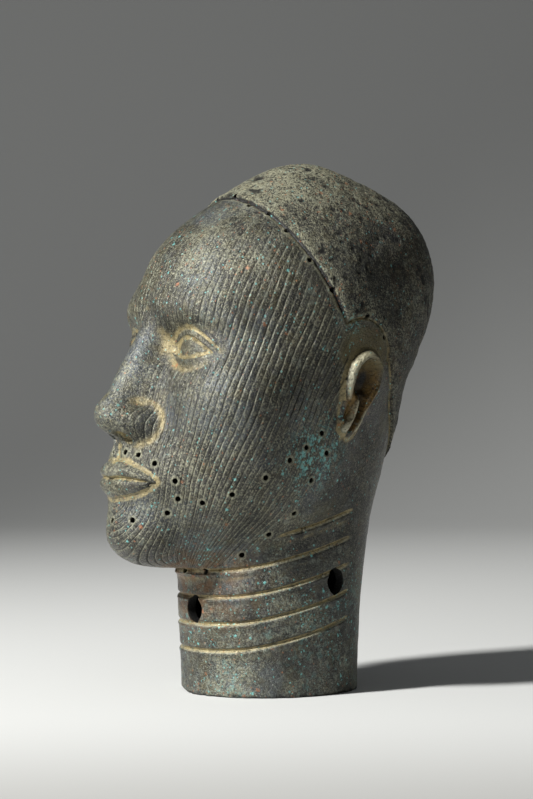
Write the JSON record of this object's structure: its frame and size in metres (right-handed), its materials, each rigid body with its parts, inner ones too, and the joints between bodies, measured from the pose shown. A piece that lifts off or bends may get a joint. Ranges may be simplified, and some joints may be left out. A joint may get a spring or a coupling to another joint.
{
  "type": "cast head",
  "caption": "Hollow-cast life-size head with a smooth cap of hair and a ringed neck, open at its flat foot.",
  "frame": {"origin": "centre of the bounding box's bottom, in the plane of the neck's foot", "axes": "+Z from the neck's foot to the crown, -Y out of the face, +X to the head's own left"},
  "size_m": [0.1478, 0.2069, 0.2959],
  "materials": {
    "bronze": "aged bronze, dark grey-brown with an olive patina, soft sheen"
  },
  "bodies": {
    "root": {"head": "bronze"}
  },
  "joints": []
}
